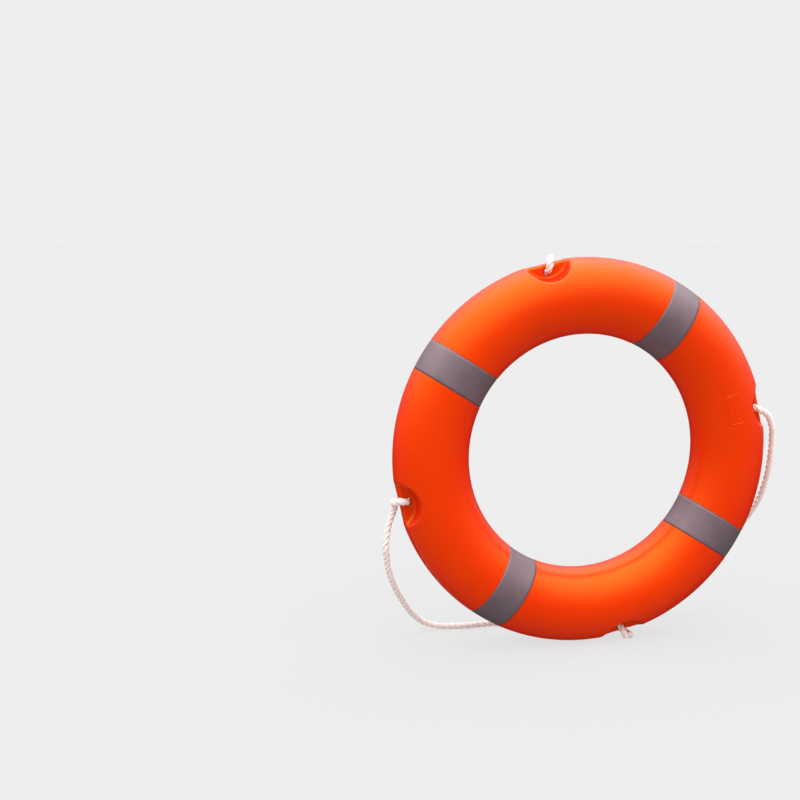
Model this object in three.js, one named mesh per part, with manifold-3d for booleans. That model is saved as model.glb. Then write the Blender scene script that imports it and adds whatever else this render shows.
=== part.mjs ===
// Ring lifebuoy, 600 mm, with four eyes, a through-running grab line and four reflective bands.
// Millimetres. The ring axis is Y with the front face toward -Y, and +Z is up.
// The origin is the lowest point of the rim, so the ring stands on z = 0 with its centre at RISE.
import * as THREE from "three";
import { mergeVertices } from "three/addons/utils/BufferGeometryUtils.js";
import Module from "manifold-3d";

const wasm = await Module();
wasm.setup();

// Ring
const OUTER_RADIUS = 300;
const HALF_WIDTH = 58.25;              // half of the section, measured along the radius
const HALF_DEPTH = 48;                 // half of the section, measured along the axis
const TUBE_RADIUS = OUTER_RADIUS - HALF_WIDTH;
const RISE = OUTER_RADIUS;
const WALL = 3.5;
const GAP = 0.3;
const TURN = 13;                       // degrees the ring is rolled from having an eye at the top
const RING_FACETS = 60;
const SECTION_FACETS = 24;
const CORE_RING_FACETS = 40;
const CORE_SECTION_FACETS = 14;

// Rope eyes: a round pocket in each face leaves a flat web with one hole
const EYES = { right: TURN, top: 90 + TURN, left: 180 + TURN, bottom: 270 + TURN };
const POCKET_RADIUS = 37.5;
const POCKET_CENTRE = 310;
const WEB_HALF = 8;
const WEB_RIM = 297.5;
const EYE_HOLE_RADIUS = 6.0;
const EYE_HOLE_CENTRE = 286;

// Reflective bands, midway between the eyes, in shallow seats
const TAPE_WIDTH = 50;
const SEAT_WIDTH = 51;
const SEAT_DEPTH = 1;
const TAPE_TOP = 0.1;
const TAPE_BOTTOM = 0.7;

// Plugs in the back face: angle round the ring, then sizes along the plug axis
const PLUGS = [
  { name: "filler_plug", angle: 80, hole: 10, flange: 14, seat: 45.8, inner: 40 },
  { name: "vent_plug", angle: 260, hole: 4, flange: 7, seat: 46.3, inner: 41 },
];
const PLUG_TOP = 47.8;

// Grab line
const ROPE_RADIUS = 4.75;
const ROPE_SIDES = 8;
const KNOT = { x: 63, y: 26.5, z: 18, radius: 14.25, half: 11.5 };

const material = (color, roughness, metalness = 0) =>
  new THREE.MeshStandardMaterial({ color, roughness, metalness });
const shellOrange = () => material(0xe8480c, 0.42);
const tapeGrey = () => material(0x8a8288, 0.45, 0.1);
const ropeWhite = () => material(0xe9dedc, 0.85);

const toSolid = (geometry) => {
  geometry.deleteAttribute("normal");
  geometry.deleteAttribute("uv");
  const merged = mergeVertices(geometry, 1e-4);
  return new wasm.Manifold(new wasm.Mesh({
    numProp: 3,
    vertProperties: new Float32Array(merged.attributes.position.array),
    triVerts: new Uint32Array(merged.index.array),
  }));
};

const toGeometry = (solid) => {
  const mesh = solid.getMesh();
  const geometry = new THREE.BufferGeometry();
  geometry.setAttribute("position", new THREE.BufferAttribute(mesh.vertProperties, 3));
  geometry.setIndex(new THREE.BufferAttribute(mesh.triVerts, 1));
  geometry.computeVertexNormals();
  return geometry;
};

// The ring's own solids are made about the ring centre and raised when the meshes are placed.
const torus = (inset, ringFacets, sectionFacets) => {
  const profile = [];
  for (let i = 0; i <= sectionFacets; i += 1) {
    const a = ((i % sectionFacets) / sectionFacets) * 2 * Math.PI;
    profile.push(new THREE.Vector2(
      TUBE_RADIUS + (HALF_WIDTH - inset) * Math.cos(a),
      (HALF_DEPTH - inset) * Math.sin(a),
    ));
  }
  return toSolid(new THREE.LatheGeometry(profile, ringFacets));
};

const polar = (degrees, radius) => {
  const a = THREE.MathUtils.degToRad(degrees);
  return [radius * Math.cos(a), radius * Math.sin(a)];
};

const cylinderY = (degrees, centre, radius, y0, y1, sides) => {
  const geometry = new THREE.CylinderGeometry(radius, radius, y1 - y0, sides);
  const [x, z] = polar(degrees, centre);
  geometry.translate(x, (y0 + y1) / 2, z);
  return toSolid(geometry);
};

const radialSlab = (degrees, width) => {
  const geometry = new THREE.BoxGeometry(OUTER_RADIUS, 140, width);
  geometry.translate(OUTER_RADIUS / 2 + 50, 0, 0);
  geometry.rotateY(-THREE.MathUtils.degToRad(degrees));
  return toSolid(geometry);
};

const buoy = new THREE.Group();
const ring = new THREE.Group();
ring.position.set(0, 0, RISE);
buoy.add(ring);

const addTo = (group, name, geometry, look) => {
  const mesh = new THREE.Mesh(geometry, look);
  mesh.name = name;
  group.add(mesh);
};

// Shell and foam core
let shell = torus(0, RING_FACETS, SECTION_FACETS);
let cavity = torus(WALL, CORE_RING_FACETS, CORE_SECTION_FACETS);
let foam = torus(WALL + GAP, CORE_RING_FACETS, CORE_SECTION_FACETS);
const webDisc = cylinderY(0, 0, WEB_RIM, -70, 70, 96);

for (const degrees of Object.values(EYES)) {
  cavity = cavity.subtract(cylinderY(degrees, POCKET_CENTRE, POCKET_RADIUS + WALL, -70, 70, 36));
  foam = foam.subtract(cylinderY(degrees, POCKET_CENTRE, POCKET_RADIUS + WALL + GAP, -70, 70, 36));
}
for (const degrees of Object.values(EYES)) {
  const pocket = (y0, y1) => cylinderY(degrees, POCKET_CENTRE, POCKET_RADIUS, y0, y1, 36);
  shell = shell.subtract(pocket(WEB_HALF, 70));
  shell = shell.subtract(pocket(-70, -WEB_HALF));
  shell = shell.subtract(pocket(-60, 60).subtract(webDisc));
  shell = shell.subtract(cylinderY(degrees, EYE_HOLE_CENTRE, EYE_HOLE_RADIUS, -70, 70, 16));
}
shell = shell.subtract(cavity);

// Reflective bands and their seats
const seatFloor = torus(SEAT_DEPTH, RING_FACETS, SECTION_FACETS);
const tapeSkin = torus(TAPE_TOP, RING_FACETS, SECTION_FACETS)
  .subtract(torus(TAPE_BOTTOM, RING_FACETS, SECTION_FACETS));
const tapeNames = ["upper_right", "upper_left", "lower_left", "lower_right"];
tapeNames.forEach((name, i) => {
  const degrees = TURN + 45 + 90 * i;
  shell = shell.subtract(radialSlab(degrees, SEAT_WIDTH).subtract(seatFloor));
  const band = tapeSkin.intersect(radialSlab(degrees, TAPE_WIDTH));
  addTo(ring, `reflective_tape_${name}`, toGeometry(band), tapeGrey());
});

// Filler and vent plugs, each a flange in a spot face with a stem through the wall
for (const plug of PLUGS) {
  shell = shell.subtract(cylinderY(plug.angle, TUBE_RADIUS, plug.hole, plug.inner - 5, 60, 32));
  shell = shell.subtract(cylinderY(plug.angle, TUBE_RADIUS, plug.flange + 0.4, plug.seat, 60, 36));
  foam = foam.subtract(cylinderY(plug.angle, TUBE_RADIUS, plug.hole, plug.inner - GAP, 60, 32));
  const stem = plug.hole - GAP;
  const profile = [
    [0, plug.inner], [stem, plug.inner], [stem, plug.seat + GAP], [plug.flange, plug.seat + GAP],
    [plug.flange, PLUG_TOP - 0.6], [plug.flange - 0.6, PLUG_TOP], [0, PLUG_TOP],
  ].map(([r, y]) => new THREE.Vector2(r, y));
  const geometry = new THREE.LatheGeometry(profile, 32);
  const [x, z] = polar(plug.angle, TUBE_RADIUS);
  geometry.translate(x, 0, z);
  addTo(ring, plug.name, toGeometry(toSolid(geometry)), shellOrange());
}
addTo(ring, "outer_shell", toGeometry(shell), shellOrange());
addTo(ring, "foam_core", toGeometry(foam), material(0xe8d9a8, 0.9));

// Grab line routes. A turn is given about its eye as [radius, y, sideways]; a loop is given as
// [x, y, z], or along the back shoulder of the tube as [degrees round the ring, degrees of section].
const aboutEye = (eye, points) => points.map(([radius, y, side]) => {
  const [x, z] = polar(EYES[eye], radius);
  const [u, w] = polar(EYES[eye] + 90, side);
  return [x + u, y, RISE + z + w];
});

const ROPE_STANDOFF = 5.8;
const onShoulder = (points) => points.map(([degrees, section]) => {
  const s = THREE.MathUtils.degToRad(section);
  const normal = new THREE.Vector2(Math.cos(s) / HALF_WIDTH, Math.sin(s) / HALF_DEPTH).normalize();
  const radius = TUBE_RADIUS + HALF_WIDTH * Math.cos(s) + ROPE_STANDOFF * normal.x;
  const [x, z] = polar(degrees, radius);
  return [x, HALF_DEPTH * Math.sin(s) + ROPE_STANDOFF * normal.y, RISE + z];
});

const EYE_TURN_TOP = aboutEye("top", [
  [286.3, 14, 0], [286.3, 5, 0], [286.3, -5.5, 0.2], [287.4, -12, 0.4], [292, -15.9, -0.9],
  [298.4, -15.6, -3.8], [303.3, -10.5, -7], [304.5, -3, -10], [303.6, 5, -11.6], [301.4, 11.4, -12.2],
  [296.5, 15.6, -12.8], [291.6, 19.6, -13.8], [288.8, 25, -15.8],
  [287.9, 30.5, -19], [287.3, 35.3, -23.6], [286.6, 38.6, -29.6], [286.3, 39.8, -33.4],
]);
const EYE_TURN_LEFT = aboutEye("left", [
  [286.3, 14, 0], [286.3, 5, 0], [286.3, -5.5, -0.1], [287.6, -11.9, -1.5], [292.9, -15.6, -4.2],
  [299.2, -15.4, -6.2], [304.2, -11, -6.4], [306, -4, -4.6], [305.6, 3, -0.8], [304.4, 8.6, 4.2],
  [305.4, 12, 10], [308.7, 13.6, 16.4], [312.2, 13.2, 21],
]);
const EYE_TURN_RIGHT = aboutEye("right", [
  [286.3, 14, 0], [286.3, 5, 0], [286.3, -5.5, -0.1], [287.4, -11.8, -1.4], [291.4, -15.8, -5],
  [297.6, -16.6, -10.4], [304, -15.2, -16.5], [308, -13.2, -23.5], [309.6, -12, -30],
]);
const EYE_TURN_BOTTOM = aboutEye("bottom", [
  [286.3, 14.4, -0.5], [286.3, 7, 0], [286.3, 0, 0], [286.3, -6, 0.2], [288.2, -12.8, 0.5],
  [293.6, -16.8, 1.4], [299.5, -18.4, 2.8], [304.8, -19, 3.8],
]);
const END_TAIL = [
  [72.5, 14.7, 8.8], [73.8, 11.8, 7.6], [76, 7.5, 6.2], [79, 1.5, 5.4], [81.2, -4.5, 5.2],
  [81.6, -10.5, 5.2], [80.4, -16.5, 5.2],
];
const LOOP_UPPER_LEFT = [
  ...aboutEye("top", [
    [286.3, 14.4, 0], [286.3, 19, 0], [286.6, 27, 5], [286.8, 34.5, 13], [288, 39.5, 23],
  ]),
  ...onShoulder([
    [110, 45], [115.5, 45], [122, 45], [130, 45], [138, 46], [146, 47],
    [154, 48], [162, 49], [169, 50], [175.5, 50], [181.5, 49], [186.5, 46],
  ]),
  ...aboutEye("left", [
    [288, 39.5, -23], [286.8, 34.5, -13], [286.6, 27, -5], [286.3, 19, 0], [286.3, 14.4, 0],
  ]),
];
const LOOP_UPPER_RIGHT = [
  ...aboutEye("top", [
    [286.27, 39.93, -33.78], [285.95, 40.9, -37.2], [285.5, 41.3, -41.6], [285, 41, -47],
  ]),
  ...onShoulder([
    [90.3, 41], [86, 41.5], [80, 42], [73, 42], [65, 42], [57, 42],
    [49, 43], [41, 44], [33, 46], [26, 48], [19.5, 46],
  ]),
  ...aboutEye("right", [
    [288, 39.5, 23], [286.8, 34.5, 13], [286.6, 27, 5], [286.3, 19, 0], [286.3, 14.4, 0],
  ]),
];
const LOOP_LOWER_LEFT = [
  ...aboutEye("left", [
    [312.5, 13.15, 21.4], [315.8, 12.2, 25.7], [319.6, 10.6, 31.5], [323.4, 8.6, 38.3], [327, 6.4, 46],
    [330.5, 4.4, 55],
  ]),
  [-310, 4, 162], [-307, 11, 143], [-303, 19, 124], [-296, 28, 106], [-287, 39, 86],
  [-274, 54, 64], [-262, 66, 45], [-249, 77, 29], [-235, 84.5, 16.5], [-219, 87.5, 8.8],
  [-202, 86.5, 5.6], [-184, 83.5, 5.2], [-164, 81, 5.2], [-136, 83, 5.2], [-108, 83, 5.2], [-78, 79, 5.2],
  [-48, 74, 5.2], [-18, 70, 5.2], [10, 67, 5.6], [33, 64, 8.5], [51, 58.5, 14], [61, 50, 18.5],
  [63, 43, 19.5], [63, 38.4, 19.5],
];
const LOOP_LOWER_RIGHT = [
  ...aboutEye("right", [
    [309.7, -11.9, -30.4], [311, -10.9, -35.8], [311.8, -9.5, -44],
  ]),
  [316, -6, 319], [319, -1.5, 303], [321, 4, 282], [322, 11, 256], [321, 20, 229],
  [318, 29, 205], [310, 40, 180], [297, 51, 154], [281, 61, 129], [263, 69, 104],
  [244, 75, 79], [224, 79, 54], [205, 81, 31], [186, 81, 13.5], [168, 79, 6], [146, 75, 5.2], [124, 66, 5.2],
  [106, 53, 5.3], [93, 40.5, 6.4], [82, 33, 8.5], [77.8, 33, 8.5],
];
const ROPES = [
  ["grab_line_upper_left", LOOP_UPPER_LEFT, 20],
  ["grab_line_upper_right", LOOP_UPPER_RIGHT, 22],
  ["grab_line_lower_left", LOOP_LOWER_LEFT, 24],
  ["grab_line_lower_right", LOOP_LOWER_RIGHT, 22],
  ["eye_turn_top", EYE_TURN_TOP, 14],
  ["eye_turn_left", EYE_TURN_LEFT, 12],
  ["eye_turn_right", EYE_TURN_RIGHT, 10],
  ["eye_turn_bottom", EYE_TURN_BOTTOM, 8],
  ["end_tail", END_TAIL, 7],
];

const ropeSection = new THREE.Shape();
for (let i = 0; i < ROPE_SIDES; i += 1) {
  const a = ((i + 0.5) / ROPE_SIDES) * 2 * Math.PI;
  const corner = [ROPE_RADIUS * Math.cos(a), ROPE_RADIUS * Math.sin(a)];
  if (i === 0) {
    ropeSection.moveTo(...corner);
  } else {
    ropeSection.lineTo(...corner);
  }
}
ropeSection.closePath();

for (const [name, points, steps] of ROPES) {
  const path = new THREE.CatmullRomCurve3(points.map((p) => new THREE.Vector3(...p)));
  const tube = new THREE.ExtrudeGeometry(ropeSection, { steps, bevelEnabled: false, extrudePath: path });
  addTo(buoy, name, toGeometry(toSolid(tube)), ropeWhite());
}

// Knot: two round turns of the line's end about the other end, as a waisted barrel
const knotProfile = [
  [0, -1], [0.66, -1], [0.92, -0.84], [1, -0.5], [0.93, -0.14],
  [0.93, 0.14], [1, 0.5], [0.92, 0.84], [0.66, 1], [0, 1],
].map(([r, y]) => new THREE.Vector2(r * KNOT.radius, y * KNOT.half));
const knot = new THREE.LatheGeometry(knotProfile, 20);
knot.translate(KNOT.x, KNOT.y, KNOT.z);
addTo(buoy, "end_knot", toGeometry(toSolid(knot)), ropeWhite());

export default buoy;
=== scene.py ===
import math

import bpy
import numpy as np
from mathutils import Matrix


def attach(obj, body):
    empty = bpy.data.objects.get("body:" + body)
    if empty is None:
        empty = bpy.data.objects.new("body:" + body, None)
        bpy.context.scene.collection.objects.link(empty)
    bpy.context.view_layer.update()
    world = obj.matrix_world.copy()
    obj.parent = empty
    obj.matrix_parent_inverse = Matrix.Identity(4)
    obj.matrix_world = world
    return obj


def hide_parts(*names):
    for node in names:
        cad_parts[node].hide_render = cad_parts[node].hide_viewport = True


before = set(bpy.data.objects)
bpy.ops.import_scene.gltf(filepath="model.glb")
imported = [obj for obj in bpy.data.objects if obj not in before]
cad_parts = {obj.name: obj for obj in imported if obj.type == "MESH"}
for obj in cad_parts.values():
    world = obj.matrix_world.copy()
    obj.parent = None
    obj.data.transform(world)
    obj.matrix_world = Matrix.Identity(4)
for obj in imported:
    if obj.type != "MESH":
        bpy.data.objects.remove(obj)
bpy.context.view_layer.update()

MM = 0.001

# ---------------------------------------------------------------- ring sizes, millimetres
OUTER_RADIUS = 300.0
HALF_WIDTH = 58.25
HALF_DEPTH = 48.0
TUBE_RADIUS = OUTER_RADIUS - HALF_WIDTH
RISE = OUTER_RADIUS
TURN = 13.0
EYES = {"right": TURN, "top": 90 + TURN, "left": 180 + TURN, "bottom": 270 + TURN}
TAPES = {"upper_right": 58.0, "upper_left": 148.0, "lower_left": 238.0, "lower_right": 328.0}
POCKET_RADIUS = 37.5
POCKET_CENTRE = 310.0
POCKET_DRAFT = 0.05              # widening per millimetre of distance from the mid plane
POCKET_RADIUS_AT = 26.0          # distance from the mid plane at which a pocket has its radius
POCKET_LIP_ROUND = 2.4
POCKET_FLOOR_ROUND = 6.0
WEB_HALF = 8.0
WEB_ROUND = 5.0
WEB_RIM = 297.5
RIM_RISE = 2.3                   # how far the web's rim climbs to meet the tube at its ends
RIM_RISE_START = 12.0
RIM_RISE_LENGTH = 22.0
EYE_HOLE_RADIUS = 6.0
EYE_HOLE_CENTRE = 286.0
EYE_HOLE_ROUND = 2.2
SEAT_HALF = 25.5
SEAT_DEPTH = 1.0
PLUG_GAP = 0.4
PLUG_SEAT_ROUND = 0.3
PLUG_LIP_ROUND = 0.7
PLUGS = {
    "filler_plug": {"angle": 80.0, "flange": 14.0, "seat": 45.8},
    "vent_plug": {"angle": 260.0, "flange": 7.0, "seat": 46.3},
}

ROPE_STANDOFF = 5.8
ROPE_LAY = 29.0


def polar(degrees, radius):
    a = math.radians(degrees)
    return radius * math.cos(a), radius * math.sin(a)


def new_object(name, vertices, faces, smooth=True):
    mesh = bpy.data.meshes.new(name)
    mesh.from_pydata(np.asarray(vertices, float).tolist(), [], faces)
    mesh.update()
    if smooth:
        mesh.shade_smooth()
    obj = bpy.data.objects.new(name, mesh)
    bpy.context.scene.collection.objects.link(obj)
    return obj


# ---------------------------------------------------------------- camera
CAMERA_PLACE = (-0.6546, -1.7283, 0.6471)
CAMERA_DOWN = 8.28
CAMERA_TURN = -11.95

camera_data = bpy.data.cameras.new("camera")
camera_data.sensor_width = 36.0
camera_data.lens = 54.0
camera = bpy.data.objects.new("camera", camera_data)
camera.location = CAMERA_PLACE
camera.rotation_euler = (math.radians(90 - CAMERA_DOWN), 0, math.radians(CAMERA_TURN))
bpy.context.scene.collection.objects.link(camera)
bpy.context.scene.camera = camera


# ---------------------------------------------------------------- grab line route
def about_eye(eye, points):
    """Points given at an eye as distance from the ring's axis, depth, and distance along the ring."""
    out = []
    for radius, y, side in points:
        x, z = polar(EYES[eye], radius)
        u, w = polar(EYES[eye] + 90, side)
        out.append((x + u, y, RISE + z + w))
    return out


def on_shoulder(points):
    """Points lying on the tube, given as degrees round the ring and degrees of the section."""
    out = []
    for degrees, section in points:
        s = math.radians(section)
        normal = np.array([math.cos(s) / HALF_WIDTH, math.sin(s) / HALF_DEPTH])
        normal /= np.linalg.norm(normal)
        radius = TUBE_RADIUS + HALF_WIDTH * math.cos(s) + ROPE_STANDOFF * normal[0]
        x, z = polar(degrees, radius)
        out.append((x, HALF_DEPTH * math.sin(s) + ROPE_STANDOFF * normal[1], RISE + z))
    return out


EYE_TURN_TOP = about_eye("top", [
    (286.3, 14, 0), (286.3, 5, 0), (286.3, -5.5, 0.2), (287.4, -12, 0.4), (292, -15.9, -0.9),
    (298.4, -15.6, -3.8), (303.3, -10.5, -7), (304.5, -3, -10), (303.6, 5, -11.6),
    (301.4, 11.4, -12.2), (296.5, 15.6, -12.8), (291.6, 19.6, -13.8), (288.8, 25, -15.8),
    (287.9, 30.5, -19), (287.3, 35.3, -23.6), (286.6, 38.6, -29.6), (286.3, 39.8, -33.4),
])
EYE_TURN_LEFT = about_eye("left", [
    (286.3, 14, 0), (286.3, 5, 0), (286.3, -5.5, -0.1), (287.6, -11.9, -1.5), (292.9, -15.6, -4.2),
    (299.2, -15.4, -6.2), (304.2, -11, -6.4), (306, -4, -4.6), (305.6, 3, -0.8), (304.4, 8.6, 4.2),
    (305.4, 12, 10), (308.7, 13.6, 16.4), (312.2, 13.2, 21),
])
EYE_TURN_RIGHT = about_eye("right", [
    (286.3, 14, 0), (286.3, 5, 0), (286.3, -5.5, -0.1), (287.4, -11.8, -1.4), (291.4, -15.8, -5),
    (297.6, -16.6, -10.4), (304, -15.2, -16.5), (308, -13.2, -23.5), (309.6, -12, -30),
])
EYE_TURN_BOTTOM = about_eye("bottom", [
    (286.3, 14.4, -0.5), (286.3, 7, 0), (286.3, 0, 0), (286.3, -6, 0.2), (288.2, -12.8, 0.5),
    (293.6, -16.8, 1.4), (299.5, -18.4, 2.8), (304.8, -19, 3.8),
])
END_TAIL = [
    (72.5, 14.7, 8.8), (73.8, 11.8, 7.6), (76, 7.5, 6.2), (79, 1.5, 5.4), (81.2, -4.5, 5.2),
    (81.6, -10.5, 5.2), (80.4, -16.5, 5.2),
]
LOOP_UPPER_LEFT = about_eye("top", [
    (286.3, 14.4, 0), (286.3, 19, 0), (286.6, 27, 5), (286.8, 34.5, 13), (288, 39.5, 23),
]) + on_shoulder([
    (110, 45), (115.5, 45), (122, 45), (130, 45), (138, 46), (146, 47),
    (154, 48), (162, 49), (169, 50), (175.5, 50), (181.5, 49), (186.5, 46),
]) + about_eye("left", [
    (288, 39.5, -23), (286.8, 34.5, -13), (286.6, 27, -5), (286.3, 19, 0), (286.3, 14.4, 0),
])
LOOP_UPPER_RIGHT = about_eye("top", [
    (286.27, 39.93, -33.78), (285.95, 40.9, -37.2), (285.5, 41.3, -41.6), (285, 41, -47),
]) + on_shoulder([
    (90.3, 41), (86, 41.5), (80, 42), (73, 42), (65, 42), (57, 42),
    (49, 43), (41, 44), (33, 46), (26, 48), (19.5, 46),
]) + about_eye("right", [
    (288, 39.5, 23), (286.8, 34.5, 13), (286.6, 27, 5), (286.3, 19, 0), (286.3, 14.4, 0),
])
LOOP_LOWER_LEFT = about_eye("left", [
    (312.5, 13.15, 21.4), (315.8, 12.2, 25.7), (319.6, 10.6, 31.5), (323.4, 8.6, 38.3), (327, 6.4, 46),
    (330.5, 4.4, 55),
]) + [
    (-310, 4, 162), (-307, 11, 143), (-303, 19, 124), (-296, 28, 106), (-287, 39, 86),
    (-274, 54, 64), (-262, 66, 45), (-249, 77, 29), (-235, 84.5, 16.5), (-219, 87.5, 8.8),
    (-202, 86.5, 5.6), (-184, 83.5, 5.2), (-164, 81, 5.2), (-136, 83, 5.2), (-108, 83, 5.2),
    (-78, 79, 5.2), (-48, 74, 5.2), (-18, 70, 5.2), (10, 67, 5.6), (33, 64, 8.5), (51, 58.5, 14),
    (61, 50, 18.5), (63, 43, 19.5), (63, 38.4, 19.5),
]
LOOP_LOWER_RIGHT = about_eye("right", [
    (309.7, -11.9, -30.4), (311, -10.9, -35.8), (311.8, -9.5, -44),
]) + [
    (316, -6, 319), (319, -1.5, 303), (321, 4, 282), (322, 11, 256), (321, 20, 229), (318, 29, 205),
    (310, 40, 180), (297, 51, 154), (281, 61, 129), (263, 69, 104), (244, 75, 79),
    (224, 79, 54), (205, 81, 31), (186, 81, 13.5), (168, 79, 6), (146, 75, 5.2),
    (124, 66, 5.2), (106, 53, 5.3), (93, 40.5, 6.4), (82, 33, 8.5), (77.8, 33, 8.5),
]
KNOT_CORE = [(64, 14.7, 20.9), (63.6, 22, 21.6), (63.2, 30, 20.3), (63, 38.4, 19.5)]
KNOT_TURNS = 1.75
KNOT_STEPS = 22
KNOT_WRAP_RADIUS = 9.6
KNOT_BACK = 32.6
KNOT_DEPTH = 15.4
KNOT_AXIS_X = 63.3


def knot_wrap():
    """Round turns about the core line, entered along the floor and left downward at the front."""
    out = []
    for i in range(KNOT_STEPS + 1):
        u = i / KNOT_STEPS
        a = math.radians(-90 - 360 * KNOT_TURNS * u)
        x = KNOT_AXIS_X + KNOT_WRAP_RADIUS * math.cos(a)
        y = KNOT_BACK - KNOT_DEPTH * u
        core_z = 20.1 + (30 - y) * 0.12
        out.append((x, y, core_z + KNOT_WRAP_RADIUS * math.sin(a)))
    return out


# The whole line in order, from the cut end at the bottom eye to the cut end on the floor
ROPE_PIECES = [
    ("eye_turn_bottom", EYE_TURN_BOTTOM[::-1]),
    ("knot_core", KNOT_CORE),
    ("grab_line_lower_left", LOOP_LOWER_LEFT[::-1]),
    ("eye_turn_left", EYE_TURN_LEFT[::-1]),
    ("grab_line_upper_left", LOOP_UPPER_LEFT[::-1]),
    ("eye_turn_top", EYE_TURN_TOP),
    ("grab_line_upper_right", LOOP_UPPER_RIGHT),
    ("eye_turn_right", EYE_TURN_RIGHT),
    ("grab_line_lower_right", LOOP_LOWER_RIGHT),
    ("knot_wrap", knot_wrap()),
    ("end_tail", END_TAIL),
]


def catmull_rom(points, step):
    """Centripetal Catmull-Rom curve through the points, with the index each sample comes from."""
    p = np.array(points, float)
    p = np.vstack([2 * p[0] - p[1], p, 2 * p[-1] - p[-2]])
    samples = []
    knots = [0]
    for i in range(1, len(p) - 2):
        p0, p1, p2, p3 = p[i - 1:i + 3]
        d0, d1, d2 = (max(np.linalg.norm(b - a) ** 0.5, 1e-4) for a, b in ((p0, p1), (p1, p2), (p2, p3)))
        t1 = ((p1 - p0) / d0 - (p2 - p0) / (d0 + d1) + (p2 - p1) / d1) * d1
        t2 = ((p2 - p1) / d1 - (p3 - p1) / (d1 + d2) + (p3 - p2) / d2) * d1
        n = max(2, int(np.linalg.norm(p2 - p1) / step))
        for s in np.arange(n) / n:
            samples.append((2 * s**3 - 3 * s**2 + 1) * p1 + (s**3 - 2 * s**2 + s) * t1
                           + (-2 * s**3 + 3 * s**2) * p2 + (s**3 - s**2) * t2)
        knots.append(len(samples))
    samples.append(p[-2])
    return np.array(samples), knots


def join_pieces():
    """One list of points for the whole line, and where each piece starts and ends in it."""
    points = []
    spans = []
    for name, piece in ROPE_PIECES:
        piece = [np.array(q, float) for q in piece]
        if points and np.linalg.norm(piece[0] - points[-1]) < 1.0:
            points[-1] = (points[-1] + piece[0]) / 2
            piece = piece[1:]
        first = max(len(points) - 1, 0)
        points.extend(piece)
        spans.append((name, first, len(points) - 1))
    return points, spans


def rope_centreline():
    """The whole line as one curve, the distance along it, and each piece's start and end distance."""
    points, spans = join_pieces()
    curve, knots = catmull_rom(points, 0.4)
    travelled = np.concatenate([[0], np.cumsum(np.linalg.norm(np.diff(curve, axis=0), axis=1))])
    return curve, travelled, [(name, travelled[knots[a]], travelled[knots[b]]) for name, a, b in spans]


def transport_frames(path):
    """Tangent, side and up vectors carried along the path without twisting."""
    tangent = np.gradient(path, axis=0)
    tangent /= np.linalg.norm(tangent, axis=1)[:, None]
    side = np.cross(tangent[0], [0.3, 0.2, 0.9])
    side /= np.linalg.norm(side)
    sides = [side]
    for t in tangent[1:]:
        side = side - t * np.dot(side, t)
        side = side / np.linalg.norm(side)
        sides.append(side)
    sides = np.array(sides)
    return tangent, sides, np.cross(tangent, sides)


# ---------------------------------------------------------------- laid rope
STRAND_RADIUS = 2.75
STRAND_OFFSET = 2.25
VALLEY_FILL = 0.22
RING_STEP = 1.2
STRAND_POINTS = 11
CUT_LENGTH = 9.0
CUT_SWELL = 0.10
# Piece, middle and reach of the fuller place along it, and by how much it is fuller there
BULGES = [("eye_turn_top", 46.0, 22.0, 0.24), ("eye_turn_left", 47.0, 22.0, 0.24)]


def strand_outline():
    """Angles and radii of the three-strand section, with the valleys between strands at its corners."""
    angles = []
    radii = []
    for k in range(3):
        for i in range(STRAND_POINTS):
            a = math.radians(-60 + 120 * i / STRAND_POINTS)
            root = STRAND_RADIUS**2 - (STRAND_OFFSET * math.sin(a)) ** 2
            radius = STRAND_OFFSET * math.cos(a) + math.sqrt(root)
            angles.append(a + math.radians(120 * k))
            radii.append(radius + VALLEY_FILL * (STRAND_RADIUS + STRAND_OFFSET - radius))
    return np.array(angles), np.array(radii)


def bulge(name, s):
    """How much fuller the line is where it is bent hard over a rim, by distance along the piece."""
    for piece, middle, reach, amount in BULGES:
        if name.startswith(piece) and abs(s - middle) < reach:
            return amount * (0.5 + 0.5 * math.cos(math.pi * (s - middle) / reach))
    return 0.0


def rope_mesh(name, path, frames, along, cut_start=False, cut_end=False):
    """A laid three-strand rope along path. along is each ring's distance down the whole line."""
    tangent, side, up = frames
    angles, radii = strand_outline()
    n = len(angles)
    rings = []
    rest = []
    for i, s in enumerate(along):
        phase = 2 * math.pi * s / ROPE_LAY
        swell = 1.0 + 0.02 * math.sin(s / 23.0) + 0.015 * math.sin(s / 7.3) + bulge(name, s - along[0])
        for from_end, is_cut in ((s - along[0], cut_start), (along[-1] - s, cut_end)):
            if is_cut:
                swell *= 1.0 + CUT_SWELL * max(0.0, 1 - from_end / CUT_LENGTH)
        a = angles + phase
        r = radii * swell
        rings.append(path[i] + np.outer(r * np.cos(a), side[i]) + np.outer(r * np.sin(a), up[i]))
        rest.append(np.stack([r * np.cos(a), r * np.sin(a), np.full(n, s)], 1))
    vertices = np.concatenate(rings)
    rest = np.concatenate(rest)
    faces = []
    for i in range(len(path) - 1):
        for j in range(n):
            k = (j + 1) % n
            faces.append((i * n + j, i * n + k, (i + 1) * n + k, (i + 1) * n + j))
    faces.append(tuple(range(n))[::-1])
    faces.append(tuple((len(path) - 1) * n + j for j in range(n)))
    obj = new_object(name, vertices * MM, faces)
    attribute = obj.data.attributes.new("lay", "FLOAT_VECTOR", "POINT")
    attribute.data.foreach_set("vector", (rest * MM).astype(np.float32).ravel())
    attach(obj, "root")
    return obj


curve, travelled, spans = rope_centreline()
line_length = travelled[-1]
ring_count = int(line_length / RING_STEP)
stations = np.linspace(0, line_length, ring_count + 1)
centres = np.stack([np.interp(stations, travelled, curve[:, i]) for i in range(3)], 1)
frames = transport_frames(centres)

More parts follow.
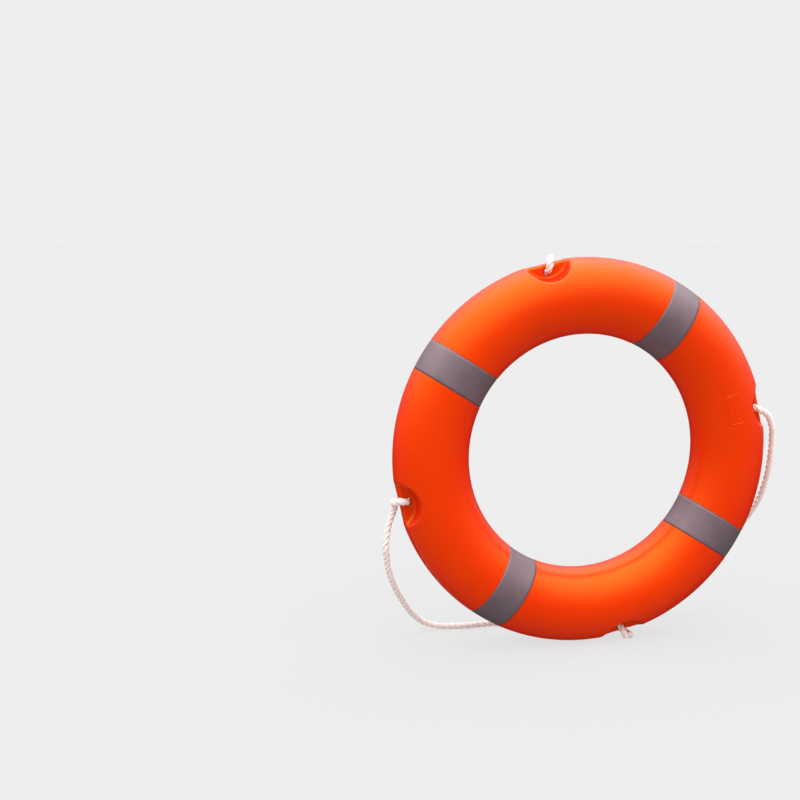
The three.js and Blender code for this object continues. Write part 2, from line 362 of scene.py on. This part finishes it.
rope = {}
for name, start, end in spans:
    first = int(round(start / line_length * ring_count))
    last = int(round(end / line_length * ring_count))
    part = slice(first, last + 1)
    rope[name] = rope_mesh(
        name + "_rope", centres[part], [f[part] for f in frames], stations[part],
        cut_start=name == "eye_turn_bottom", cut_end=name == "end_tail",
    )

for name, obj in rope.items():
    if name in ("knot_core", "knot_wrap"):
        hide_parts("end_knot")
    else:
        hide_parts(name)


# ---------------------------------------------------------------- ring surface as a distance field
def rounded_corner(a, b, radius):
    """Intersection of two fields, with the corner between them rounded to that radius."""
    inner = np.minimum(np.maximum(a, b), -radius)
    return inner + np.hypot(np.maximum(a + radius, 0), np.maximum(b + radius, 0))


def tube_field(p):
    """Near distance to the elliptical tube: exact at its surface, close to it nearby."""
    across = np.hypot(p[:, 0], p[:, 2]) - TUBE_RADIUS
    k0 = np.hypot(across / HALF_WIDTH, p[:, 1] / HALF_DEPTH)
    k1 = np.hypot(across / HALF_WIDTH**2, p[:, 1] / HALF_DEPTH**2)
    return k0 * (k0 - 1) / np.maximum(k1, 1e-9)


def eye_fields(p, degrees):
    """Distances to the pocket's and the hole's axis, and the web's rim radius abreast of each point."""
    cx, cz = polar(degrees, POCKET_CENTRE)
    hx, hz = polar(degrees, EYE_HOLE_CENTRE)
    ux, uz = polar(degrees + 90, 1.0)
    aside = np.abs(p[:, 0] * ux + p[:, 2] * uz)
    rim = WEB_RIM + RIM_RISE * np.clip((aside - RIM_RISE_START) / RIM_RISE_LENGTH, 0, 1)
    return np.hypot(p[:, 0] - cx, p[:, 2] - cz), np.hypot(p[:, 0] - hx, p[:, 2] - hz), rim


def shell_field(p):
    """Signed distance to the moulded shell about the ring centre, without the band seats."""
    field = tube_field(p)
    y = np.abs(p[:, 1])
    ring = np.hypot(p[:, 0], p[:, 2])
    for degrees in EYES.values():
        to_pocket, to_hole, rim = eye_fields(p, degrees)
        near = to_pocket < POCKET_RADIUS + 8
        wall = to_pocket[near] - POCKET_RADIUS - POCKET_DRAFT * (y[near] - POCKET_RADIUS_AT)
        web = rounded_corner(y[near] - WEB_HALF, ring[near] - rim[near], WEB_ROUND)
        cut = rounded_corner(wall, -web, POCKET_FLOOR_ROUND)
        body = rounded_corner(field[near], -cut, POCKET_LIP_ROUND)
        field[near] = rounded_corner(body, EYE_HOLE_RADIUS - to_hole[near], EYE_HOLE_ROUND)
    for plug in PLUGS.values():
        px, pz = polar(plug["angle"], TUBE_RADIUS)
        to_plug = np.hypot(p[:, 0] - px, p[:, 2] - pz)
        near = (to_plug < plug["flange"] + 6) & (p[:, 1] > 0)
        wall = to_plug[near] - plug["flange"] - PLUG_GAP
        seat = rounded_corner(wall, plug["seat"] - p[near, 1], PLUG_SEAT_ROUND)
        field[near] = rounded_corner(field[near], -seat, PLUG_LIP_ROUND)
    return field


def gradient(p, field):
    """Slope of a field at each point, by central differences."""
    e = 0.05
    out = np.empty_like(p)
    for axis in range(3):
        step = np.zeros(3)
        step[axis] = e
        out[:, axis] = (field(p + step) - field(p - step)) / (2 * e)
    return out


def onto_surface(p, field, rounds):
    """Moves points to the zero level of a field."""
    for _ in range(rounds):
        g = gradient(p, field)
        p = p - g * (field(p) / np.maximum((g**2).sum(1), 1e-6))[:, None]
    return p


def surface_nets(low, high, spacing, field):
    """Quads over the zero level of field inside the box, one vertex in each cell that it crosses."""
    axes = [np.arange(a, b + spacing, spacing) for a, b in zip(low, high)]
    shape = [len(a) for a in axes]
    values = np.empty(shape, np.float32)
    yy, zz = np.meshgrid(axes[1], axes[2], indexing="ij")
    for i, x in enumerate(axes[0]):
        layer = np.stack([np.full(yy.size, x), yy.ravel(), zz.ravel()], 1)
        values[i] = field(layer).reshape(yy.shape)
    inside = values < 0
    cells = tuple(s - 1 for s in shape)
    corners = sum(
        inside[i:i + cells[0], j:j + cells[1], k:k + cells[2]].astype(np.int8)
        for i in (0, 1) for j in (0, 1) for k in (0, 1)
    )
    active = (corners > 0) & (corners < 8)
    at = np.argwhere(active)
    index = np.full(cells, -1, np.int64)
    index[active] = np.arange(len(at))
    total = np.zeros((len(at), 3))
    count = np.zeros(len(at))
    for axis in range(3):
        others = [a for a in range(3) if a != axis]
        for i in (0, 1):
            for j in (0, 1):
                start = at.copy()
                start[:, others[0]] += i
                start[:, others[1]] += j
                end = start.copy()
                end[:, axis] += 1
                a = values[tuple(start.T)]
                b = values[tuple(end.T)]
                crossed = (a < 0) != (b < 0)
                t = np.zeros(len(at))
                t[crossed] = a[crossed] / (a[crossed] - b[crossed])
                point = start.astype(float)
                point[:, axis] += t
                total[crossed] += point[crossed]
                count[crossed] += 1
    vertices = total / count[:, None] * spacing + np.array([a[0] for a in axes])
    faces = []
    for axis in range(3):
        u, v = [(1, 2), (2, 0), (0, 1)][axis]
        upper = [slice(None)] * 3
        lower = [slice(None)] * 3
        upper[axis] = slice(1, None)
        lower[axis] = slice(None, -1)
        changed = inside[tuple(lower)] != inside[tuple(upper)]
        edges = np.argwhere(changed)
        edges = edges[(edges[:, u] > 0) & (edges[:, v] > 0)]
        edges = edges[(edges[:, u] < cells[u]) & (edges[:, v] < cells[v])]
        ring = []
        for du, dv in ((1, 1), (0, 1), (0, 0), (1, 0)):
            cell = edges.copy()
            cell[:, u] -= du
            cell[:, v] -= dv
            ring.append(index[tuple(cell.T)])
        quad = np.stack(ring, 1)
        outward = inside[tuple(edges.T)]
        quad[~outward] = quad[~outward][:, ::-1]
        faces.append(quad)
    return vertices, np.concatenate(faces)


def relaxed(vertices, faces, field, rounds):
    """Evens out the spacing of the vertices over the surface."""
    pairs = np.concatenate([faces[:, [i, (i + 1) % 4]] for i in range(4)])
    count = np.bincount(pairs[:, 0], minlength=len(vertices)).astype(float)[:, None]
    for _ in range(rounds):
        near = vertices[pairs[:, 1]]
        total = np.stack([np.bincount(pairs[:, 0], near[:, i], len(vertices)) for i in range(3)], 1)
        vertices = onto_surface(0.4 * vertices + 0.6 * total / count, field, 1)
    return vertices


def cut_seat(vertices, faces, degrees):
    """Lowers a band across the tube by the seat's depth, with straight edges at the seat's width."""
    u = np.array([math.cos(math.radians(degrees)), 0, math.sin(math.radians(degrees))])
    v = np.array([-u[2], 0, u[0]])
    here = vertices @ u > 0
    pairs = np.concatenate([faces[:, [i, (i + 1) % 4]] for i in range(4)])
    step = 0.12
    for edge in (-SEAT_HALF, SEAT_HALF):
        past = vertices @ v > edge
        crossing = here[pairs[:, 0]] & (past[pairs[:, 0]] != past[pairs[:, 1]])
        ends = np.unique(pairs[crossing])
        target = np.where(past[ends], edge + step, edge - step)
        vertices[ends] += np.outer(target - vertices[ends] @ v, v)
        vertices[ends] = onto_surface(vertices[ends], shell_field, 2)
    seat = here & (np.abs(vertices @ v) < SEAT_HALF)
    normals = gradient(vertices[seat], shell_field)
    normals /= np.linalg.norm(normals, axis=1)[:, None]
    vertices[seat] -= normals * SEAT_DEPTH
    return vertices


def make_shell():
    """The whole moulding as one skin, with the normals of the surface before the seats are cut."""
    spacing = 1.7
    vertices, faces = surface_nets((-304, -51, -304), (304, 51, 304), spacing, shell_field)
    vertices = onto_surface(vertices, shell_field, 2)
    vertices = relaxed(vertices, faces, shell_field, 3)
    vertices = onto_surface(vertices, shell_field, 1)
    normals = gradient(vertices, shell_field)
    normals /= np.linalg.norm(normals, axis=1)[:, None]
    for degrees in TAPES.values():
        vertices = cut_seat(vertices, faces, degrees)
    shell = new_object("shell_skin", (vertices + [0, 0, RISE]) * MM, faces.tolist())
    shell.data.normals_split_custom_set_from_vertices(normals.tolist())
    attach(shell, "root")
    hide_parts("outer_shell")
    return shell


shell = make_shell()


# ---------------------------------------------------------------- reflective bands
TAPE_HALF = 25.0
TAPE_START = 118.0               # degrees of section where a tape starts, on the back of the tube
TAPE_TURN = 373.0                # degrees of section that it covers, its lap included
TAPE_STEPS = 240
TAPE_COLUMNS = 17
TAPE_LENGTH_ROUND = 340.0
TAPE_TOP_INSET = 0.25
TAPE_BACK_INSET = 0.75
TAPE_LAP_RISE = 0.55
TAPE_EDGE_DROP = 0.18
TAPE_EDGE_WIDTH = 0.9


def tape_rows(degrees):
    """Points of the tape's outer and inner face, row by row round the tube."""
    rows = []
    for i in range(TAPE_STEPS + 1):
        u = i / TAPE_STEPS
        a = math.radians(TAPE_START + TAPE_TURN * u)
        over = min(max((TAPE_TURN * u - 360.0 + 5.0) / 4.0, 0.0), 1.0)
        over = over * over * (3 - 2 * over)
        row = []
        for inset, drop in ((TAPE_TOP_INSET, TAPE_EDGE_DROP), (TAPE_BACK_INSET, 0.0)):
            for j in range(TAPE_COLUMNS):
                c = j / (TAPE_COLUMNS - 1)
                t = TAPE_HALF * (2 * c - 1)
                edge = min(c, 1 - c) * 2 * TAPE_HALF
                depth = inset - TAPE_LAP_RISE * over + drop * max(0.0, 1 - edge / TAPE_EDGE_WIDTH)
                radius = TUBE_RADIUS + (HALF_WIDTH - depth) * math.cos(a)
                turned = math.radians(degrees) + math.asin(t / radius)
                y = (HALF_DEPTH - depth) * math.sin(a)
                row.append((radius * math.cos(turned), y, RISE + radius * math.sin(turned)))
        rows.append(row)
    return rows


def make_tape(name, degrees):
    """One turn of 50 mm tape in its seat, its end lapped over its start behind the tube."""
    n = 2 * TAPE_COLUMNS
    outline = list(range(TAPE_COLUMNS)) + list(range(n - 1, TAPE_COLUMNS - 1, -1))
    faces = []
    for i in range(TAPE_STEPS):
        for a, b in zip(outline, outline[1:] + outline[:1]):
            faces.append((i * n + a, i * n + b, (i + 1) * n + b, (i + 1) * n + a))
    faces.append(tuple(outline[::-1]))
    faces.append(tuple(TAPE_STEPS * n + j for j in outline))
    vertices = np.array(tape_rows(degrees)).reshape(-1, 3)
    band = new_object("tape_" + name, vertices * MM, faces)
    uv = band.data.uv_layers.new(name="along")
    across = np.tile(np.tile(np.linspace(-TAPE_HALF, TAPE_HALF, TAPE_COLUMNS), 2), TAPE_STEPS + 1)
    around = np.repeat(np.linspace(0, TAPE_LENGTH_ROUND * TAPE_TURN / 360, TAPE_STEPS + 1), n)
    loops = np.empty(len(band.data.loops), np.int32)
    band.data.loops.foreach_get("vertex_index", loops)
    uv.data.foreach_set("uv", np.stack([around[loops], across[loops]], 1).astype(np.float32).ravel() * MM)
    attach(band, "root")
    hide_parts("reflective_tape_" + name)
    return band


tapes = [make_tape(name, degrees) for name, degrees in TAPES.items()]


# ---------------------------------------------------------------- blank panel on the front face
PANEL_PLACE = (15.9, -93.0)      # degrees round the ring, degrees of section
PANEL_HALF_LENGTH = 23.0
PANEL_HALF_WIDTH = 10.0
PANEL_CORNER = 4.0
RELIEF_WIDTH = 1.9
RELIEF_HEIGHT = 0.55
RELIEF_ROOT = 0.4


def on_tube(place, along, across, lift):
    """Point above the tube's surface, at distances along the ring and across the section from a place."""
    a = math.radians(place[0]) + along / TUBE_RADIUS
    s = math.radians(place[1]) + across / HALF_WIDTH
    normal = np.array([math.cos(s) / HALF_WIDTH, math.sin(s) / HALF_DEPTH])
    normal /= np.linalg.norm(normal)
    radius = TUBE_RADIUS + HALF_WIDTH * math.cos(s) + lift * normal[0]
    return radius * math.cos(a), HALF_DEPTH * math.sin(s) + lift * normal[1], RISE + radius * math.sin(a)


def rounded_rectangle(half_length, half_width, corner, per_corner):
    """Points round a rectangle whose corners are arcs."""
    points = []
    for quarter, (side, end) in enumerate([(1, 1), (-1, 1), (-1, -1), (1, -1)]):
        for turn in np.linspace(0, math.pi / 2, per_corner):
            a = quarter * math.pi / 2 + turn
            along = side * (half_length - corner) + corner * math.cos(a)
            across = end * (half_width - corner) + corner * math.sin(a)
            points.append((along, across))
    return np.array(points)


def make_blank_panel():
    """Raised outline of an empty panel, in place of the maker's moulded mark: no sign and no lettering."""
    line = rounded_rectangle(PANEL_HALF_LENGTH, PANEL_HALF_WIDTH, PANEL_CORNER, 12)
    tangent = np.roll(line, -1, axis=0) - np.roll(line, 1, axis=0)
    tangent /= np.linalg.norm(tangent, axis=1)[:, None]
    outline = [(1.0, -RELIEF_ROOT)]
    outline += [(math.cos(a), RELIEF_HEIGHT * math.sin(a)) for a in np.linspace(0, math.pi, 7)]
    outline += [(-1.0, -RELIEF_ROOT)]
    vertices = []
    for (along, across), (ta, tc) in zip(line, tangent):
        for side, lift in outline:
            w = side * RELIEF_WIDTH / 2
            vertices.append(on_tube(PANEL_PLACE, along - tc * w, across + ta * w, lift))
    n = len(outline)
    rings = len(line)
    faces = []
    for i in range(rings):
        a = i * n
        b = (i + 1) % rings * n
        for j in range(n):
            k = (j + 1) % n
            faces.append((a + j, a + k, b + k, b + j))
    panel = new_object("blank_panel", np.array(vertices) * MM, faces)
    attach(panel, "root")
    return panel


panel = make_blank_panel()


# ---------------------------------------------------------------- plugs
def lathe(name, profile, angle, sides):
    """Turned piece about the plug's axis on the back face, closed on the axis at both ends."""
    x, z = polar(angle, TUBE_RADIUS)
    vertices = [(x, profile[0][1], RISE + z)]
    for r, y in profile[1:-1]:
        for k in range(sides):
            turn = 2 * math.pi * k / sides
            vertices.append((x + r * math.cos(turn), y, RISE + z + r * math.sin(turn)))
    vertices.append((x, profile[-1][1], RISE + z))
    rings = len(profile) - 2
    faces = [(0, 1 + (k + 1) % sides, 1 + k) for k in range(sides)]
    for i in range(rings - 1):
        for k in range(sides):
            m = (k + 1) % sides
            a = 1 + i * sides
            b = a + sides
            faces.append((a + k, a + m, b + m, b + k))
    last = 1 + (rings - 1) * sides
    faces += [(last + k, last + (k + 1) % sides, len(vertices) - 1) for k in range(sides)]
    obj = new_object(name, np.array(vertices) * MM, faces)
    obj.data.set_sharp_from_angle(angle=math.radians(35))
    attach(obj, "root")
    return obj


filler = lathe("filler_plug_cap", [
    (0, 41), (9.4, 41), (9.4, 46.1), (13.7, 46.1), (13.9, 46.4), (13.9, 47.0), (13.6, 47.5), (13.1, 47.7),
    (11.4, 47.75), (11.0, 47.4), (10.5, 47.3), (10.0, 47.6), (9.4, 47.75), (4.6, 47.78), (4.1, 47.5),
    (3.8, 46.6), (3.2, 46.3), (0, 46.2),
], PLUGS["filler_plug"]["angle"], 96)
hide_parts("filler_plug")
vent = lathe("vent_plug_cap", [
    (0, 41.5), (3.6, 41.5), (3.6, 46.6), (6.8, 46.6), (6.95, 46.8), (6.9, 47.2), (6.5, 47.55), (5.8, 47.7),
    (2.4, 47.75), (2.0, 47.5), (1.6, 47.1), (0, 47.0),
], PLUGS["vent_plug"]["angle"], 64)
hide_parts("vent_plug")


# ---------------------------------------------------------------- materials
def linear(r, g, b):
    """Linear colour of an sRGB colour given in levels of 255."""
    def one(c):
        c = c / 255
        return c / 12.92 if c <= 0.04045 else ((c + 0.055) / 1.055) ** 2.4
    return one(r), one(g), one(b), 1.0


class Look:
    """Short calls for the nodes that the materials here, and the world, are made of."""

    def __init__(self, data):
        self.data = data
        data.use_nodes = True
        self.nodes = data.node_tree.nodes
        self.links = data.node_tree.links
        self.shader = self.nodes.get("Principled BSDF") or self.nodes["Background"]

    def node(self, kind, **settings):
        node = self.nodes.new(kind)
        for key, value in settings.items():
            setattr(node, key, value)
        return node

    def wire(self, source, target):
        self.links.new(source, target)

    def place(self, scale=(1, 1, 1), attribute=None, uv=None):
        if attribute:
            source = self.node("ShaderNodeAttribute", attribute_name=attribute).outputs["Vector"]
        elif uv:
            source = self.node("ShaderNodeUVMap", uv_map=uv).outputs["UV"]
        else:
            source = self.node("ShaderNodeTexCoord").outputs["Object"]
        mapping = self.node("ShaderNodeMapping")
        mapping.inputs["Scale"].default_value = scale
        self.wire(source, mapping.inputs["Vector"])
        return mapping.outputs["Vector"]

    def noise(self, vector, scale, detail=2.0, roughness=0.5):
        node = self.node("ShaderNodeTexNoise")
        node.inputs["Scale"].default_value = scale
        node.inputs["Detail"].default_value = detail
        node.inputs["Roughness"].default_value = roughness
        self.wire(vector, node.inputs["Vector"])
        return node.outputs["Fac"]

    def remap(self, value, low, high, to_low, to_high):
        node = self.node("ShaderNodeMapRange")
        for key, number in (("From Min", low), ("From Max", high), ("To Min", to_low), ("To Max", to_high)):
            node.inputs[key].default_value = number
        self.wire(value, node.inputs["Value"])
        return node.outputs["Result"]

    def math(self, operation, a, b=None):
        node = self.node("ShaderNodeMath", operation=operation)
        for slot, value in ((0, a), (1, b)):
            if isinstance(value, (int, float)):
                node.inputs[slot].default_value = value
            elif value is not None:
                self.wire(value, node.inputs[slot])
        return node.outputs["Value"]

    def mix(self, factor, a, b):
        node = self.node("ShaderNodeMix", data_type="RGBA")
        for slot, value in ((0, factor), (6, a), (7, b)):
            if isinstance(value, (int, float, tuple)):
                node.inputs[slot].default_value = value
            else:
                self.wire(value, node.inputs[slot])
        return node.outputs[2]

    def bump(self, height, distance, strength=1.0, below=None):
        node = self.node("ShaderNodeBump")
        node.inputs["Distance"].default_value = distance
        node.inputs["Strength"].default_value = strength
        self.wire(height, node.inputs["Height"])
        if below is not None:
            self.wire(below, node.inputs["Normal"])
        return node.outputs["Normal"]


def shell_look():
    """Moulded orange plastic: a fine pebbled skin, slow waves, and the parting line at mid depth."""
    look = Look(bpy.data.materials.new("moulded_shell"))
    place = look.place()
    grain = look.noise(place, 900, 3)
    pebble = look.noise(place, 260, 2)
    cloud = look.noise(place, 7, 3)
    base = look.mix(look.remap(cloud, 0.35, 0.65, 0, 1), linear(213, 32, 0), linear(217, 37, 0))
    look.wire(base, look.shader.inputs["Base Color"])
    look.wire(look.remap(pebble, 0.3, 0.7, 0.28, 0.35), look.shader.inputs["Roughness"])
    flow = look.noise(place, 22, 2)
    height = look.math("ADD", look.math("MULTIPLY", grain, 0.35), look.math("MULTIPLY", pebble, 0.65))
    normal = look.bump(height, 0.00006, 1.0)
    normal = look.bump(flow, 0.0004, 0.6, normal)
    split = look.node("ShaderNodeSeparateXYZ")
    look.wire(look.place(), split.inputs["Vector"])
    seam = look.math("ABSOLUTE", split.outputs["Y"])
    normal = look.bump(look.remap(seam, 0.0003, 0.0009, 1, 0), 0.00005, 1.0, normal)
    look.wire(normal, look.shader.inputs["Normal"])
    look.shader.inputs["Specular IOR Level"].default_value = 0.6
    look.shader.inputs["Specular Tint"].default_value = (1.0, 1.0, 0.12, 1.0)
    return look.data


def plug_look():
    look = Look(bpy.data.materials.new("moulded_plug"))
    place = look.place()
    grain = look.noise(place, 1500, 2)
    cloud = look.noise(place, 60, 2)
    look.wire(look.mix(cloud, linear(226, 54, 8), linear(236, 68, 12)), look.shader.inputs["Base Color"])
    look.wire(look.remap(grain, 0.3, 0.7, 0.25, 0.34), look.shader.inputs["Roughness"])
    look.wire(look.bump(grain, 0.00003), look.shader.inputs["Normal"])
    return look.data


def tape_look():
    """Grey retro-reflective tape: glass beads under film, with a fine honeycomb of seal lines."""
    look = Look(bpy.data.materials.new("retro_tape"))
    place = look.place(uv="along")
    beads = look.noise(place, 2600, 2)
    blotch = look.noise(place, 45, 3)
    cells = look.node("ShaderNodeTexVoronoi", feature="DISTANCE_TO_EDGE")
    cells.inputs["Scale"].default_value = 330
    cells.inputs["Randomness"].default_value = 0.0
    look.wire(look.place((1, 0.866, 1), uv="along"), cells.inputs["Vector"])
    line = look.remap(cells.outputs["Distance"], 0.02, 0.07, 1, 0)
    base = look.mix(look.remap(blotch, 0.35, 0.65, 0, 1), linear(104, 86, 92), linear(112, 94, 100))
    base = look.mix(look.remap(beads, 0.35, 0.7, 0, 0.5), base, linear(132, 114, 120))
    base = look.mix(look.math("MULTIPLY", line, 0.16), base, linear(150, 132, 138))
    look.wire(base, look.shader.inputs["Base Color"])
    look.shader.inputs["Metallic"].default_value = 0.35
    look.wire(look.remap(beads, 0.3, 0.7, 0.38, 0.55), look.shader.inputs["Roughness"])
    normal = look.bump(beads, 0.00005, 0.8)
    normal = look.bump(line, 0.00004, 0.6, normal)
    look.wire(normal, look.shader.inputs["Normal"])
    return look.data


def rope_look():
    """White polypropylene fibre, fine filaments along the line and soiled a little in scattered blotches.
    """
    look = Look(bpy.data.materials.new("laid_rope"))
    fibres = look.noise(look.place((3200, 3200, 90), attribute="lay"), 1.0, 3, 0.6)
    yarns = look.noise(look.place((1100, 1100, 40), attribute="lay"), 1.0, 2, 0.5)
    blotch = look.noise(look.place(), 38, 3)
    base = look.mix(look.remap(fibres, 0.35, 0.65, 0, 1), linear(213, 194, 188), linear(240, 225, 219))
    base = look.mix(look.remap(blotch, 0.4, 0.7, 0, 0.3), base, linear(222, 202, 196))
    look.wire(base, look.shader.inputs["Base Color"])
    look.wire(look.remap(yarns, 0.3, 0.7, 0.5, 0.72), look.shader.inputs["Roughness"])
    look.shader.inputs["Sheen Weight"].default_value = 0.25
    look.shader.inputs["Sheen Roughness"].default_value = 0.5
    normal = look.bump(yarns, 0.00035, 0.9)
    normal = look.bump(fibres, 0.00012, 0.9, normal)
    look.wire(normal, look.shader.inputs["Normal"])
    return look.data


def foam_look():
    look = Look(bpy.data.materials.new("foam"))
    place = look.place()
    cells = look.noise(place, 900, 3)
    base = look.mix(cells, linear(222, 204, 150), linear(240, 226, 178))
    look.wire(base, look.shader.inputs["Base Color"])
    look.shader.inputs["Roughness"].default_value = 0.9
    look.wire(look.bump(cells, 0.0004), look.shader.inputs["Normal"])
    return look.data


def dress(obj, material):
    obj.data.materials.clear()
    obj.data.materials.append(material)


orange = shell_look()
grey = tape_look()
white = rope_look()
orange_plug = plug_look()
dress(shell, orange)
dress(panel, orange)
for obj in tapes:
    dress(obj, grey)
for obj in rope.values():
    dress(obj, white)
for obj in (filler, vent):
    dress(obj, orange_plug)
dress(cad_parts["foam_core"], foam_look())


# ---------------------------------------------------------------- floor and light
STUDIO_WHITE = (1.0, 0.994, 0.996, 1)
FLOOR_SIDE = 40.0
FLOOR_TONE = 0.7
BACKDROP_RADIUS = 39.0
BACKDROP_SIDES = 96
BACKDROP_TONE = 0.85
HORIZON_TONE = 0.42
DOME_TONE = 3.85
BEHIND_SHARE = 0.5


def floor_look():
    look = Look(bpy.data.materials.new("studio_floor"))
    cloud = look.noise(look.place(), 1.2, 2)
    tone = look.mix(cloud, (0.06, 0.06, 0.06, 1), (0.064, 0.064, 0.064, 1))
    look.wire(tone, look.shader.inputs["Base Color"])
    look.shader.inputs["Roughness"].default_value = 0.9
    look.shader.inputs["Specular IOR Level"].default_value = 0.0
    look.shader.inputs["Emission Color"].default_value = STUDIO_WHITE
    look.shader.inputs["Emission Strength"].default_value = FLOOR_TONE
    return look.data


def make_floor():
    """Pale floor, large enough to run out to the horizon."""
    corners = [(x * FLOOR_SIDE, y * FLOOR_SIDE, 0) for x, y in ((-1, -1), (1, -1), (1, 1), (-1, 1))]
    obj = new_object("floor", corners, [(0, 1, 2, 3)])
    dress(obj, floor_look())
    obj.visible_glossy = False


def backdrop_look():
    look = Look(bpy.data.materials.new("studio_paper"))
    cloud = look.noise(look.place(), 0.4, 2)
    base = look.mix(cloud, (0.01, 0.01, 0.01, 1), (0.012, 0.012, 0.012, 1))
    look.wire(base, look.shader.inputs["Base Color"])
    look.shader.inputs["Specular IOR Level"].default_value = 0.0
    look.shader.inputs["Emission Color"].default_value = STUDIO_WHITE
    look.shader.inputs["Emission Strength"].default_value = BACKDROP_TONE
    return look.data


def make_backdrop():
    """Plain paper wall all round, far out, in the floor's tone."""
    vertices = []
    for k in range(BACKDROP_SIDES):
        turn = 2 * math.pi * k / BACKDROP_SIDES
        x = BACKDROP_RADIUS * math.cos(turn)
        y = BACKDROP_RADIUS * math.sin(turn)
        vertices += [(x, y, z) for z in (-0.5, 25.0)]
    faces = []
    for k in range(BACKDROP_SIDES):
        a = 2 * k
        b = 2 * ((k + 1) % BACKDROP_SIDES)
        faces.append((a, a + 1, b + 1, b))
    obj = new_object("backdrop", vertices, faces)
    dress(obj, backdrop_look())
    obj.visible_glossy = False
    obj.visible_diffuse = False


def make_sky():
    """Soft studio dome: even near the horizon, brighter up to overhead, and dimmer behind the object."""
    look = Look(bpy.data.worlds.new("studio"))
    split = look.node("ShaderNodeSeparateXYZ")
    look.wire(look.node("ShaderNodeTexCoord").outputs["Generated"], split.inputs["Vector"])
    height = split.outputs["Z"]
    below = look.remap(height, -0.12, -0.03, 0.0, HORIZON_TONE)
    dome = look.remap(height, 0.10, 1.0, 0.0, DOME_TONE)
    behind = look.remap(split.outputs["Y"], 0.15, 0.9, 1.0, BEHIND_SHARE)
    tone = look.math("MULTIPLY", look.math("ADD", below, dome), behind)
    look.wire(tone, look.shader.inputs["Strength"])
    look.shader.inputs["Color"].default_value = STUDIO_WHITE
    bpy.context.scene.world = look.data


make_floor()
make_backdrop()
make_sky()
bpy.context.scene.view_settings.view_transform = "Standard"
